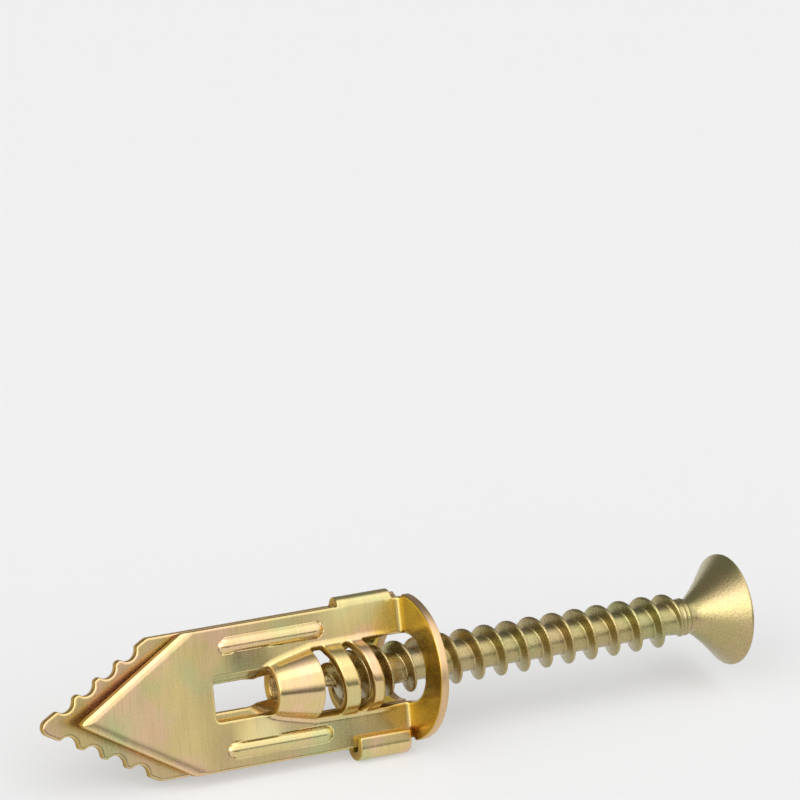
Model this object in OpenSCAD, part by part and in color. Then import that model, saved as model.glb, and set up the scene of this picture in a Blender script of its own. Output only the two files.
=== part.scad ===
// Hammer drive anchor for plasterboard: one stamped and folded sheet whose two pointed
// blades lie face to face, with a coarse screw started in the channel between them.
//
// Each piece is drawn in the anchor frame: +Z runs along the screw from the point to the
// head, Z = 0 is the wall side of the flange, and the plain blade is on +X. The last
// module lays both pieces down in the pose that they take on a table.

/* [Sheet] */
// Thickness of the sheet
sheet_t = 0.65; // [0.5:0.05:0.8]
// Gap left between the two blades where they are folded together
seam_gap = 0.1; // [0.06:0.02:0.2]
// Clearance under the locking lip
lip_gap = 0.05; // [0.03:0.01:0.1]

/* [Flange] */
// Radius of each half disc of the flange
flange_r = 5.5; // [5:0.1:7]
// Distance from the seam to the centre of each half disc
flange_offset = 0.5; // [0:0.1:1]
// Inner radius of the fold between blade and flange
fold_r = 0.35; // [0.25:0.05:0.5]
// Half width of the screw hole where it crosses the folds
hole_half_w = 2.55; // [2.5:0.05:2.8]
// Reach of the screw hole into each half disc, from the seam
hole_reach = 3.6; // [3.3:0.05:3.9]

/* [Blades] */
// Half width of the blades at the fold, between bridge and lip
root_half_w = 5.25; // [4.8:0.05:6]
// Half width of the blades ahead of the bridge
blade_half_w = 5.3; // [5:0.05:6.5]
// Distance from the flange to the end of the root
root_len = 5.3; // [5:0.1:6]
// Distance from the flange to the shoulders of the plain blade
plain_shoulder = 18.3; // [17.5:0.1:20]
// Distance from the flange to the point of the plain blade
plain_tip = 27.6; // [24:0.1:30]
// Distance from the flange to the shoulders of the toothed blade
toothed_shoulder = 20.8; // [19:0.1:23]
// Distance from the flange to the point of the toothed blade
toothed_tip = 30.05; // [28:0.05:34]
// Radius of the nose at the plain point
plain_nose_r = 0.25; // [0.15:0.05:0.8]
// Radius of the nose at the toothed point
toothed_nose_r = 0.65; // [0.3:0.05:0.8]
// Width of the bevel along the edges of the plain point
bevel_w = 0.5; // [0.2:0.05:0.8]
// Depth of that bevel
bevel_h = 0.25; // [0.1:0.05:0.4]
// Distance from the flange to the crease that the plain point is bent up along
crease_pos = 16.7; // [16.5:0.1:17.4]
// Angle by which the plain point is bent away from the toothed one
point_lift = 4.5; // [0.5:0.5:8]

/* [Teeth] */
// Number of hollows in each cutting edge
tooth_count = 4; // [2:1:4]
// Distance from hollow to hollow along the edge
tooth_pitch = 2.1; // [1.8:0.05:2.3]
// Radius of each hollow
tooth_r = 0.85; // [0.7:0.05:0.9]
// Depth of each hollow
tooth_depth = 0.6; // [0.3:0.05:0.7]
// Distance from the nose to the first hollow, along the edge
tooth_start = 1.95; // [1.6:0.05:2.3]

/* [Channel] */
// Clearance between the thread crest and the channel
thread_clearance = 0.06; // [0.04:0.01:0.15]
// Inner radius of the throat at the window
throat_r = 1.38; // [1.3:0.02:1.8]
// Distance from the flange to the wide end of the throat
throat_start = 7.85; // [7.5:0.05:9]
// Distance from the flange to the narrow end of the throat
throat_end = 11.3; // [11:0.1:13]
// Distance from the flange to the far end of the window
window_end = 16.15; // [15:0.05:17]
// Half width of the window in the plain blade
window_half_w = 1.65; // [1:0.05:1.8]
// Half width of the window in the toothed blade
rear_window_half_w = 1.05; // [0.9:0.05:1.5]
// Radius of the windows' far corners
window_corner_r = 0.35; // [0.2:0.05:0.6]
// Half length of the slots across the channel
slot_half_len = 2.45; // [2.3:0.05:2.7]
// Width of the slots that the thread shows in
slot_w = 1.15; // [0.8:0.05:1.3]
// Distance from the flange to the middle of the slot in the plain blade
slot_pos = 4.5; // [4.3:0.05:4.6]
// Width of the loading gap between the throat and the first strip of the plain blade
gap_w = 1.55; // [1:0.05:1.65]
// Width of the loading gap in the toothed blade
rear_gap_w = 2.2; // [1:0.05:2.25]
// Distance from the flange to the last strip
hole_start = 3.05; // [2.7:0.05:3.1]

/* [Ribs] */
// Distance from the centre line to each rib
rib_y = 3.85; // [3.6:0.05:4.2]
// Distance from the flange to the near end of the ribs
rib_start = 6.6; // [6.3:0.1:8]
// Distance from the flange to the far end of the ribs
rib_end = 15.4; // [13:0.1:16]
// Radius of the rib's rounded section
rib_r = 0.6; // [0.4:0.05:0.7]
// Height of the ribs above the blade
rib_h = 0.35; // [0.2:0.05:0.45]

/* [Bridge and lip] */
// Distance from the flange to the near end of the bridge that joins the blades
bridge_start = 0.6; // [0.5:0.05:1]
// Distance from the flange to the far end of the bridge
bridge_end = 5.15; // [4:0.05:5.2]
// Distance from the flange to the near end of the locking lip
lip_start = 0.45; // [0.4:0.05:1]
// Distance from the flange to the far end of the locking lip
lip_end = 4.7; // [3.5:0.05:5.2]
// Reach of the lip over the plain blade
lip_reach = 0.75; // [0.4:0.05:1]

/* [Screw] */
// Outer diameter of the thread
thread_d = 4; // [3.8:0.05:4.2]
// Diameter of the core between the turns
core_d = 2.4; // [2.2:0.05:2.6]
// Advance of the thread in one turn
thread_pitch = 1.95; // [1.8:0.05:2.1]
// Width of the thread at its foot
thread_foot = 0.75; // [0.6:0.05:1]
// Width of the thread at its crest
thread_crest = 0.2; // [0.15:0.01:0.35]
// Length of the tapered point
point_len = 4.8; // [4:0.1:6]
// Distance from the flange to one crest, on the side of the bridge
crest_pos = 5.47; // [0:0.01:6]
// Reach of the screw's point beyond the flange, as supplied
screw_reach = 8.5; // [7:0.1:9]
// Length of the screw, from point to face
screw_len = 36.75; // [32:0.05:40]
// Diameter of the head
head_d = 8.35; // [7.5:0.05:9]
// Diameter of the neck under the head
neck_d = 2.65; // [2.5:0.05:3]
// Height of the flared underside of the head
flare_h = 3.2; // [2.8:0.1:4]
// Thickness of the head's rim
rim_h = 0.12; // [0.1:0.02:0.4]
// Height of the crown of the head's face
crown_h = 0.1; // [0.05:0.05:0.3]
// Hollowness of the flare: 1 is a plain cone, and more is more of a trumpet
flare_power = 1.2; // [1:0.1:2.5]
// Length over which the thread runs out under the head
runout_len = 1.6; // [1.2:0.1:3]

/* [Cross recess] */
// Width of the recess across two opposite wings
recess_w = 4.4; // [4:0.1:5]
// Thickness of each wing of the recess
recess_t = 0.95; // [0.8:0.05:1.1]
// Width of the recess at its floor
recess_floor_w = 2.2; // [1.6:0.1:2.6]
// Depth of the recess
recess_depth = 2.1; // [1.6:0.1:2.4]

/* [Hidden] */

$fn = 64;
THREAD_STEPS = 24;      // flat steps in one turn of the thread
THREAD_START_W = 0.4;   // width of the thread where it starts, as a share of its full width
FLARE_STEPS = 14;       // steps in the curve of the head's underside
CROWN_EDGE = 0.8;       // where the crown starts to drop, as a share of the head's radius
ROOM = 1;               // how far a cutting body runs past what it cuts
BURY = 0.15;            // how deep the foot of the thread sits in the core

face_in = seam_gap / 2;             // distance from the seam to a blade's inner face
face_out = face_in + sheet_t;       // distance from the seam to a blade's outer face
fold_out = fold_r + sheet_t;        // outer radius of the fold
fold_x = face_out + fold_r;         // distance from the seam to the axis of the fold
bore_r = thread_d / 2 + thread_clearance;
channel_room = bore_r + sheet_t + ROOM;
half_turn = thread_pitch / 2;       // how far the thread climbs from one blade to the other
slot_lean = atan(thread_pitch / (PI * (thread_d + core_d) / 2));
lip_in = (face_out + lip_gap + face_in) / 2;
lip_x = lip_in - face_in;           // distance from the seam to the axis of the lip's bend

core_r = core_d / 2;
neck_r = neck_d / 2;
head_r = head_d / 2;
screw_face = screw_len - screw_reach;
rim_top = screw_face - crown_h;
flare_top = rim_top - rim_h;
flare_bottom = flare_top - flare_h;

// The anchor lies on the flange's rim and on the bend of the locking lip. Seen along the
// screw, the table touches both circles, which gives the direction that points down.
lip_out = lip_in + sheet_t;
down_angle = atan2(root_half_w, lip_x + flange_offset)
    + acos((flange_r - lip_out) / norm([lip_x + flange_offset, root_half_w]));
rest_height = flange_r - flange_offset * cos(down_angle);

function lerp(a, b, f) = a + (b - a) * f;
function clamp(f) = max(0, min(1, f));

// Turn from straight ahead to the normal of a point's edge, where that edge leaves the nose.
function edge_turn(length, nose_r) =
    let (run = length - nose_r)
    atan2(run, blade_half_w) + asin(nose_r / norm([run, blade_half_w]));

// Length of the straight edge of a point, from shoulder to nose.
function edge_len(length, nose_r) =
    let (run = length - nose_r)
    sqrt(run * run + blade_half_w * blade_half_w - nose_r * nose_r);

// ---- Blades, drawn in plan: X runs across the blade and Y towards the head

// Places children at the shoulder, with X along the edge to the nose and Y pointing out.
module along_edge(shoulder, tip, nose_r)
{
    translate([blade_half_w, -shoulder])
        rotate(180 + edge_turn(tip - shoulder, nose_r))
            children();
}

module blade_outline(shoulder, tip, nose_r)
{
    turn = edge_turn(tip - shoulder, nose_r);
    nose = [0, nose_r - tip];
    translate(nose) circle(nose_r);
    polygon([
        [root_half_w, -fold_r], [root_half_w, -root_len],
        [blade_half_w, -root_len - (blade_half_w - root_half_w)], [blade_half_w, -shoulder],
        nose + nose_r * [sin(turn), -cos(turn)],
        nose + nose_r * [-sin(turn), -cos(turn)],
        [-blade_half_w, -shoulder], [-blade_half_w, -root_len - (blade_half_w - root_half_w)],
        [-root_half_w, -root_len], [-root_half_w, -fold_r],
    ]);
}

module tooth_hollows(shoulder, tip, nose_r)
{
    first = edge_len(tip - shoulder, nose_r) - tooth_start;
    for (side = [0, 1], hollow = [0 : tooth_count - 1])
        mirror([side, 0])
            along_edge(shoulder, tip, nose_r)
                translate([first - hollow * tooth_pitch, tooth_r - tooth_depth])
                    circle(tooth_r);
}

// Openings punched in one blade, moved by climb to follow the thread. Only the far end of
// the window stays where it is.
module blade_openings(climb, window_half, gap)
{
    rise = slot_half_len * tan(slot_lean);
    window(window_half, climb);
    translate([0, climb]) {
        polygon([
            [-slot_half_len, -throat_start], [slot_half_len, -throat_start],
            [slot_half_len, gap - throat_start + rise], [-slot_half_len, gap - throat_start - rise],
        ]);
        translate([0, -slot_pos]) rotate(slot_lean) slot();
    }
    polygon([
        [-hole_half_w, climb - hole_start - rise], [hole_half_w, climb - hole_start + rise],
        [hole_half_w, -fold_r], [-hole_half_w, -fold_r],
    ]);
}

module window(half_w, climb)
{
    corner = half_w - window_corner_r;
    translate([-half_w, window_corner_r - window_end])
        square([2 * half_w, window_end - window_corner_r - throat_end + climb]);
    translate([-corner, -window_end])
        square([2 * corner, 2 * window_corner_r]);
    for (side = [-1, 1])
        translate([side * corner, window_corner_r - window_end])
            circle(window_corner_r);
}

module slot()
{
    run = slot_half_len / cos(slot_lean) - slot_w / 2;
    square([2 * run, slot_w], center = true);
    for (side = [-1, 1]) translate([side * run, 0]) circle(slot_w / 2);
}

// ---- Solids of the sheet, for the blade on +X

// Stands a plan up on +X, from one distance off the seam to another.
module stand_up(from, to)
{
    translate([from, 0, 0]) rotate([90, 0, 90]) linear_extrude(to - from) children();
}

// Bulge of the channel, or its bore: a straight run, and a throat that narrows to the window.
module channel(grow, top)
{
    rotate_extrude()
        polygon([
            [0, -throat_end], [throat_r + grow, -throat_end],
            [bore_r + grow, -throat_start], [bore_r + grow, top], [0, top],
        ]);
}

module rib(x)
{
    for (side = [-1, 1])
        translate([x, side * rib_y, 0]) {
            translate([0, 0, -rib_end + rib_r]) cylinder(r = rib_r, h = rib_end - rib_start - 2 * rib_r);
            for (z = [-rib_end + rib_r, -rib_start - rib_r]) translate([0, 0, z]) sphere(rib_r);
        }
}

module fold()
{
    rotate([90, 0, 0])
        linear_extrude(2 * root_half_w, center = true)
            translate([fold_x, -fold_r])
                intersection() {
                    difference() {
                        circle(fold_out);
                        circle(fold_r);
                    }
                    translate([-fold_out, 0]) square(fold_out);
                }
}

module half_flange()
{
    linear_extrude(sheet_t)
        intersection() {
            translate([flange_offset, 0]) circle(flange_r);
            translate([fold_x, -flange_r]) square(2 * flange_r);
        }
}

module flange_hole()
{
    round_x = hole_reach - hole_half_w;
    translate([0, 0, -fold_r])
        linear_extrude(fold_r + sheet_t + ROOM) {
            translate([round_x, 0]) circle(hole_half_w);
            translate([0, -hole_half_w]) square([round_x, 2 * hole_half_w]);
        }
}

// One blade with its half of the flange; children are the plan of its flat part.
module half_sheet(climb, window_half, gap)
{
    difference() {
        union() {
            stand_up(face_in, face_out) children();
            intersection() {
                channel(sheet_t, -fold_r);
                translate([face_in, -channel_room, climb - throat_end])
                    cube([channel_room, 2 * channel_room, throat_end]);
            }
            rib(face_out + rib_h - rib_r);
            fold();
            half_flange();
        }
        channel(0, -fold_r);
        rib(face_in + rib_h - rib_r);
        stand_up(0, channel_room) blade_openings(climb, window_half, gap);
        flange_hole();
    }
}

// Cuts the bevels along both edges of the plain point.
module edge_bevels(shoulder, tip, nose_r)
{
    translate([face_out, 0, 0]) rotate([90, 0, 90])
        for (side = [0, 1])
            mirror([side, 0, 0])
                along_edge(shoulder, tip, nose_r)
                    translate([-ROOM, -bevel_w, 0])
                        rotate([-atan(bevel_h / bevel_w), 0, 0])
                            cube([edge_len(tip - shoulder, nose_r) + 2 * ROOM, 2 * bevel_w + ROOM, ROOM]);
}

// Everything in plan that is ahead of the crease, or all that is behind it.
module beside_crease(ahead)
{
    translate([-2 * blade_half_w, ahead ? -crease_pos - 2 * plain_tip : -crease_pos])
        square([4 * blade_half_w, 2 * plain_tip]);
}

// Bends children up along the crease, about the line where it meets the outer face.
module bend_up()
{
    translate([face_out, 0, -crease_pos])
        rotate([0, -point_lift, 0])
            translate([-face_out, 0, crease_pos])
                children();
}

// Fills the open side of the crease.
module crease_round()
{
    intersection() {
        translate([face_out, 0, -crease_pos])
            rotate([90, 0, 0])
                cylinder(r = sheet_t, h = 2 * blade_half_w, center = true);
        translate([face_out - 2 * sheet_t, -blade_half_w, -crease_pos - sheet_t])
            cube([2 * sheet_t, 2 * blade_half_w, 2 * sheet_t]);
    }
}

module plain_half()
{
    half_sheet(0, window_half_w, gap_w)
        intersection() {
            blade_outline(plain_shoulder, plain_tip, plain_nose_r);
            beside_crease(false);
        }
    crease_round();
    bend_up()
        difference() {
            stand_up(face_in, face_out)
                intersection() {
                    blade_outline(plain_shoulder, plain_tip, plain_nose_r);
                    beside_crease(true);
                }
            edge_bevels(plain_shoulder, plain_tip, plain_nose_r);
        }
}

// The other half, turned half a turn about the screw: its openings climb with the thread.
module toothed_half()
{
    rotate(180)
        half_sheet(half_turn, rear_window_half_w, rear_gap_w)
            difference() {
                blade_outline(toothed_shoulder, toothed_tip, toothed_nose_r);
                tooth_hollows(toothed_shoulder, toothed_tip, toothed_nose_r);
            }
}

// Half ring in plan, bulging towards +Y, for a bend whose axis runs along Z.
module half_ring(inner, outer)
{
    intersection() {
        difference() {
            circle(outer);
            circle(inner);
        }
        translate([-outer, 0]) square([2 * outer, outer]);
    }
}

// Tight bend that joins the two blades along one edge.
module bridge()
{
    translate([0, -root_half_w, -bridge_end])
        linear_extrude(bridge_end - bridge_start)
            mirror([0, 1]) half_ring(face_in, face_out);
}

// Rounded edge of the plain blade where the locking lip wraps it.
module wrapped_edge()
{
    translate([face_in + sheet_t / 2, root_half_w, -lip_end])
        cylinder(r = sheet_t / 2, h = lip_end - lip_start);
}

// Tab of the toothed blade that wraps the plain blade's edge and locks over its face.
module locking_lip()
{
    translate([0, root_half_w, -lip_end])
        linear_extrude(lip_end - lip_start) {
            translate([lip_x, 0]) half_ring(lip_in, lip_out);
            translate([face_out + lip_gap, -lip_reach]) square([sheet_t, lip_reach]);
        }
}

// ---- Screw

function thread_height(z) =
    let (from_point = clamp((z + screw_reach) / point_len),
         to_head = clamp((flare_bottom - z) / runout_len))
    min(from_point, to_head);

// Four corners of the thread's section on one ray of the helix.
function thread_section(z, turn) =
    let (f = thread_height(z),
         foot_r = max(BURY / 2, core_r * clamp((z + screw_reach) / point_len) - BURY),
         crest_r = lerp(foot_r + BURY / 2, thread_d / 2, f),
         widen = lerp(THREAD_START_W, 1, f))
    [for (corner = [[foot_r, -thread_foot], [crest_r, -thread_crest],
                    [crest_r, thread_crest], [foot_r, thread_foot]])
        [corner.x * cos(turn), corner.x * sin(turn), z + widen * corner.y / 2]];

module thread()
{
    first = ceil((thread_foot - screw_reach - crest_pos) / thread_pitch * THREAD_STEPS);
    last = floor((flare_bottom - crest_pos) / thread_pitch * THREAD_STEPS);
    count = last - first + 1;
    points = [
        for (i = [first : last])
            each thread_section(crest_pos + i * thread_pitch / THREAD_STEPS,
                                i * 360 / THREAD_STEPS - 90)
    ];
    sides = [
        for (i = [0 : count - 2], k = [0 : 3])
            let (a = 4 * i + k, b = 4 * i + (k + 1) % 4)
            each [[a, b, a + 4], [b, b + 4, a + 4]]
    ];
    end = 4 * count - 4;
    polyhedron(points, concat([[3, 2, 1, 0]], sides, [[end, end + 1, end + 2, end + 3]]));
}

// Turned blank: point, core, neck, flared underside, rim and crowned face.
module screw_blank()
{
    rotate_extrude()
        polygon(concat(
            [[0, -screw_reach], [core_r, point_len - screw_reach], [core_r, flare_bottom - runout_len]],
            [for (i = [0 : FLARE_STEPS])
                let (f = i / FLARE_STEPS, spread = pow(f, flare_power))
                [lerp(neck_r, head_r, spread), lerp(flare_bottom, flare_top, f)]],
            [[head_r, rim_top], [head_r * CROWN_EDGE, screw_face - crown_h / 3], [0, screw_face]]
        ));
}

module cross_recess()
{
    for (turn = [0, 90])
        rotate([90, 0, turn])
            linear_extrude(recess_t, center = true)
                polygon([
                    [-recess_w / 2, screw_face + ROOM], [-recess_w / 2, screw_face - crown_h],
                    [-recess_floor_w / 2, screw_face - recess_depth],
                    [recess_floor_w / 2, screw_face - recess_depth],
                    [recess_w / 2, screw_face - crown_h], [recess_w / 2, screw_face + ROOM],
                ]);
}

// ---- Pieces

module anchor_sheet()
{
    color([0.80, 0.72, 0.52]) lie_down() {
        plain_half();
        wrapped_edge();
        toothed_half();
        bridge();
        locking_lip();
    }
}

module drive_screw()
{
    color([0.72, 0.65, 0.45]) lie_down()
        difference() {
            union() {
                screw_blank();
                thread();
            }
            cross_recess();
        }
}

// Lays the anchor along X with its head on +X, centred over the origin and resting on Z = 0.
module lie_down()
{
    translate([(toothed_tip - screw_face) / 2, 0, rest_height])
        rotate([0, 90, 0])
            rotate(-down_angle)
                children();
}

anchor_sheet();
drive_screw();
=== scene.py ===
"""Studio scene of a hammer drive anchor: a folded, plated sheet and its drive screw, lying on a pale floor.

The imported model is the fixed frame. Every length is in metres in that frame, except where a name ends in _mm.
"""

from __future__ import annotations

import logging
import math
from dataclasses import dataclass, field

import bmesh
import bpy
import numpy as np
from mathutils import Matrix, Vector
from mathutils.geometry import delaunay_2d_cdt
from mathutils.kdtree import KDTree

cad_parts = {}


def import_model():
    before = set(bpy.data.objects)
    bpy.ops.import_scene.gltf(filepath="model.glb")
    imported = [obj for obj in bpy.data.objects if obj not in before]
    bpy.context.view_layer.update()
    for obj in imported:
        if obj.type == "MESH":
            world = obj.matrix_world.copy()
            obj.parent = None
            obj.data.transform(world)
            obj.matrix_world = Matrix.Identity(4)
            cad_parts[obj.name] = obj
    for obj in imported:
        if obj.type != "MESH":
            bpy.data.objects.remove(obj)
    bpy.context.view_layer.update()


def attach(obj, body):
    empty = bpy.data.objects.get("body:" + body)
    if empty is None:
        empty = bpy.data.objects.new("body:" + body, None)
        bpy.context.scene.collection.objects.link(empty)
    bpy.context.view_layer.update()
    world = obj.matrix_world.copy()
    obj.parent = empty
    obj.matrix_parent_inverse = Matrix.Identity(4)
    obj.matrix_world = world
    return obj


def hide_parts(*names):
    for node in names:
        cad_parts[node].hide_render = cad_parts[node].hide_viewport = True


LOG = logging.getLogger("anchor")
MM = 0.001
WHITE = (1, 1, 1, 1)


def link(name: str, data: bpy.types.ID) -> bpy.types.Object:
    """Puts a new object in the scene.

    Args:
        name: The object's name.
        data: The mesh, lamp or camera that it shows.

    Returns:
        The new object.
    """
    made = bpy.data.objects.new(name, data)
    bpy.context.scene.collection.objects.link(made)
    return made


class Graph:
    """A small helper that adds and links nodes in one node tree."""

    def __init__(self, tree: bpy.types.NodeTree) -> None:
        """Keeps the tree.

        Args:
            tree: The node tree that the nodes go in.
        """
        self.tree = tree

    def add(self, kind: str, **settings: object) -> bpy.types.Node:
        """Adds a node.

        Args:
            kind: The node's type name.
            **settings: Properties of the node to set, or a dict named inputs, from socket name or index to
                a value or another node's output.

        Returns:
            The new node.
        """
        node = self.tree.nodes.new(kind)
        inputs = settings.pop("inputs", {})
        for name, value in settings.items():
            setattr(node, name, value)
        for key, value in inputs.items():
            self.feed(node.inputs[key], value)
        return node

    def feed(self, socket: bpy.types.NodeSocket, value: object) -> None:
        """Links value to the socket where it is an output, and sets it as the socket's own otherwise.

        Args:
            socket: The input to feed.
            value: A number, a tuple, a material or another node's output.
        """
        if isinstance(value, bpy.types.NodeSocket):
            self.tree.links.new(value, socket)
        else:
            socket.default_value = value

    def math(self, operation: str, *values: object, clamp: bool = False) -> bpy.types.NodeSocket:
        """Adds a Math node.

        Args:
            operation: The node's operation.
            *values: Numbers or outputs for its sockets, in order.
            clamp: Whether the result stays between 0 and 1.

        Returns:
            The node's output.
        """
        inputs = dict(enumerate(values))
        return self.add("ShaderNodeMath", operation=operation, use_clamp=clamp, inputs=inputs).outputs[0]

    def times(self, *values: object) -> bpy.types.NodeSocket:
        """Multiplies its values, two at a time.

        Args:
            *values: Numbers or outputs, at least two.

        Returns:
            The product's output.
        """
        product = values[0]
        for value in values[1:]:
            product = self.math("MULTIPLY", product, value)
        return product

    def rest(self, share: object) -> bpy.types.NodeSocket:
        """Returns what share leaves of 1."""
        return self.math("SUBTRACT", 1.0, share)

    def blend(self, factor: object, low: object, high: object) -> bpy.types.NodeSocket:
        """Mixes two colours.

        Args:
            factor: 0 gives low and 1 gives high.
            low: The first colour.
            high: The second colour.

        Returns:
            The mixed colour's output.
        """
        node = self.add("ShaderNodeMix", data_type="RGBA")
        self.feed(node.inputs[0], factor)
        self.feed(node.inputs[6], low)
        self.feed(node.inputs[7], high)
        return node.outputs[2]

    def sockets(self, values: dict[str, float]) -> dict[str, bpy.types.NodeSocket]:
        """Gives a geometry group its output and its named inputs.

        Args:
            values: Each input's name and default value.

        Returns:
            The inputs by name, as outputs inside the group.
        """
        self.tree.interface.new_socket("Geometry", in_out="OUTPUT", socket_type="NodeSocketGeometry")
        for name, value in values.items():
            made = self.tree.interface.new_socket(name, in_out="INPUT", socket_type="NodeSocketFloat")
            made.default_value = value
        inside = self.add("NodeGroupInput")
        return {name: inside.outputs[name] for name in values}

    def ramp(self, factor: object, low: float, high: float) -> bpy.types.NodeSocket:
        """Maps the range from low to high onto 0 to 1, smoothly and clamped.

        Args:
            factor: The output to map.
            low: The value that gives 0.
            high: The value that gives 1.

        Returns:
            The mapped output.
        """
        node = self.add("ShaderNodeMapRange", interpolation_type="SMOOTHSTEP")
        self.feed(node.inputs["Value"], factor)
        node.inputs["From Min"].default_value = low
        node.inputs["From Max"].default_value = high
        return node.outputs[0]


Colour = tuple[float, float, float, float]


@dataclass(frozen=True)
class Plating:
    """Yellow zinc plating over steel, with the drifting pink and green of its thin passivated film.

    Attributes:
        name: The material's name.
        gold: The plating's main colour.
        rose: The film's warm tint.
        olive: The film's cool tint.
        deep: The colour where the bath lingered, round the flange.
        edge: The colour of sheared edges.
        roughness: How matt the plating is, from 0 to 1.
        drift_mm: Width of the patches of tint.
        grain_mm: Width of the finest grain.
        grain: Height of the grain in the bump, from 0 to 1.
        mottle: How much darker the grain's hollows are, from 0 to 1.
        brush: How much the fine lines of rolling show, from 0 to 1.
        stretch: How much the rolled lines spread reflections along the sheet, from 0 to 1.
        gloss: How much of a clear gloss lies over the colour, from 0 to 1.
        edge_mm: Radius that the plating's build-up gives sharp edges.
        rose_range: Where in its noise the warm tint starts and is full.
        olive_range: Where in its noise the cool tint starts and is full.
        grain_range: Where in its noise a hollow of the grain starts and is full.
        line_range: Where in its noise a rolled line starts and is full.
        line_mm: Width of the rolled lines.
        line_run: How fast the lines change along X, Y and Z. They run across the screw.
        hollow: Brightness of hollows and lines beside the gold.
        rough_spread: How far the grain varies the roughness.
        sheared_rough: How much rougher sheared edges are.
        flange_share: How much of the deep colour the flange takes.
        sheared_share: How much of their own colour sheared edges take.
        relief: Depth of the grain as a share of its width.
        coat: Index of refraction and roughness of the gloss.
    """

    name: str
    gold: Colour
    rose: Colour
    olive: Colour
    deep: Colour
    edge: Colour
    roughness: float
    drift_mm: float
    grain_mm: float
    grain: float
    mottle: float
    brush: float
    stretch: float
    gloss: float
    edge_mm: float
    rose_range: tuple[float, float] = (0.42, 0.66)
    olive_range: tuple[float, float] = (0.48, 0.70)
    grain_range: tuple[float, float] = (0.42, 0.72)
    line_range: tuple[float, float] = (0.35, 0.75)
    line_mm: float = 0.16
    line_run: tuple[float, float, float] = (1.0, 0.06, 0.06)
    hollow: float = 0.45
    rough_spread: float = 0.22
    sheared_rough: float = 0.2
    flange_share: float = 0.92
    sheared_share: float = 0.85
    relief: float = 0.2
    coat: tuple[float, float] = (1.8, 0.3)

    def material(self) -> bpy.types.Material:
        """Builds the finish.

        Returns:
            The new material.
        """
        made = bpy.data.materials.new(self.name)
        made.use_nodes = True
        tree = made.node_tree
        tree.nodes.clear()
        g = Graph(tree)
        place = g.add("ShaderNodeTexCoord").outputs["Object"]
        drift = g.add("ShaderNodeTexNoise", inputs={
            "Vector": place, "Scale": 1 / (self.drift_mm * MM), "Detail": 3.0, "Roughness": 0.55})
        second = g.add("ShaderNodeTexNoise", noise_dimensions="4D", inputs={
            "Vector": place, "W": 7.3, "Scale": 0.8 / (self.drift_mm * MM), "Detail": 2.0})
        grain = g.add("ShaderNodeTexNoise", inputs={
            "Vector": place, "Scale": 1 / (self.grain_mm * MM), "Detail": 4.0, "Roughness": 0.6}).outputs[0]
        warm = g.blend(g.ramp(drift.outputs[0], *self.rose_range), self.gold, self.rose)
        film = g.blend(g.ramp(second.outputs[0], *self.olive_range), warm, self.olive)
        stretched = g.add("ShaderNodeVectorMath", operation="MULTIPLY", inputs={0: place, 1: self.line_run})
        lines = g.add("ShaderNodeTexNoise", inputs={
            "Vector": stretched.outputs[0], "Scale": 1 / (self.line_mm * MM), "Detail": 2.0})
        dark = g.math("ADD", g.times(g.ramp(grain, *self.grain_range), self.mottle),
                      g.times(g.ramp(lines.outputs[0], *self.line_range), self.brush), clamp=True)
        rough = g.math("MULTIPLY_ADD", grain, self.rough_spread, self.roughness - self.rough_spread / 2)
        rounded = g.add("ShaderNodeBevel", samples=6, inputs={"Radius": self.edge_mm * MM})
        bump = g.add("ShaderNodeBump", inputs={
            "Strength": self.grain, "Distance": self.grain_mm * MM * self.relief, "Height": grain,
            "Normal": rounded.outputs[0]})
        flange, sheared = (g.add("ShaderNodeAttribute", attribute_name=name).outputs["Fac"]
                           for name in ("flange", "sheared"))
        film = g.blend(g.times(flange, self.flange_share), film, self.deep)
        film = g.blend(g.times(sheared, self.sheared_share), film, g.blend(flange, self.edge, self.rose))
        film = g.blend(dark, film, tuple(self.hollow * part for part in self.gold[:3]) + (1,))
        rough = g.math("MULTIPLY_ADD", sheared, self.sheared_rough, rough)
        along = g.add("ShaderNodeVectorTransform", vector_type="VECTOR", convert_from="OBJECT",
                      convert_to="WORLD", inputs={0: (1.0, 0.0, 0.0)})
        shader = g.add("ShaderNodeBsdfPrincipled", inputs={
            "Base Color": film, "Metallic": 1.0, "Roughness": rough, "Normal": bump.outputs[0],
            "Anisotropic": self.stretch, "Tangent": along.outputs[0], "Coat Weight": self.gloss,
            "Coat IOR": self.coat[0], "Coat Roughness": self.coat[1]})
        out = g.add("ShaderNodeOutputMaterial")
        g.feed(out.inputs["Surface"], shader.outputs[0])
        return made


SHEET_PLATING = Plating(
    "sheet_plating", gold=(0.75, 0.59, 0.26, 1), rose=(0.83, 0.57, 0.35, 1), olive=(0.61, 0.60, 0.29, 1),
    deep=(0.56, 0.37, 0.03, 1), edge=(0.52, 0.31, 0.04, 1), roughness=0.25, drift_mm=4.0, grain_mm=0.14,
    grain=0.03, mottle=0.05, brush=0.16, stretch=0.86, gloss=0.0, edge_mm=0.05)
SCREW_PLATING = Plating(
    "screw_plating", gold=(0.45, 0.36, 0.14, 1), rose=(0.48, 0.36, 0.17, 1), olive=(0.40, 0.38, 0.15, 1),
    deep=(0.45, 0.36, 0.14, 1), edge=(0.45, 0.36, 0.14, 1), roughness=0.28, drift_mm=3.0, grain_mm=0.17,
    grain=0.6, mottle=0.35, brush=0.0, stretch=0.0, gloss=0.45, edge_mm=0.04)


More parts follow.
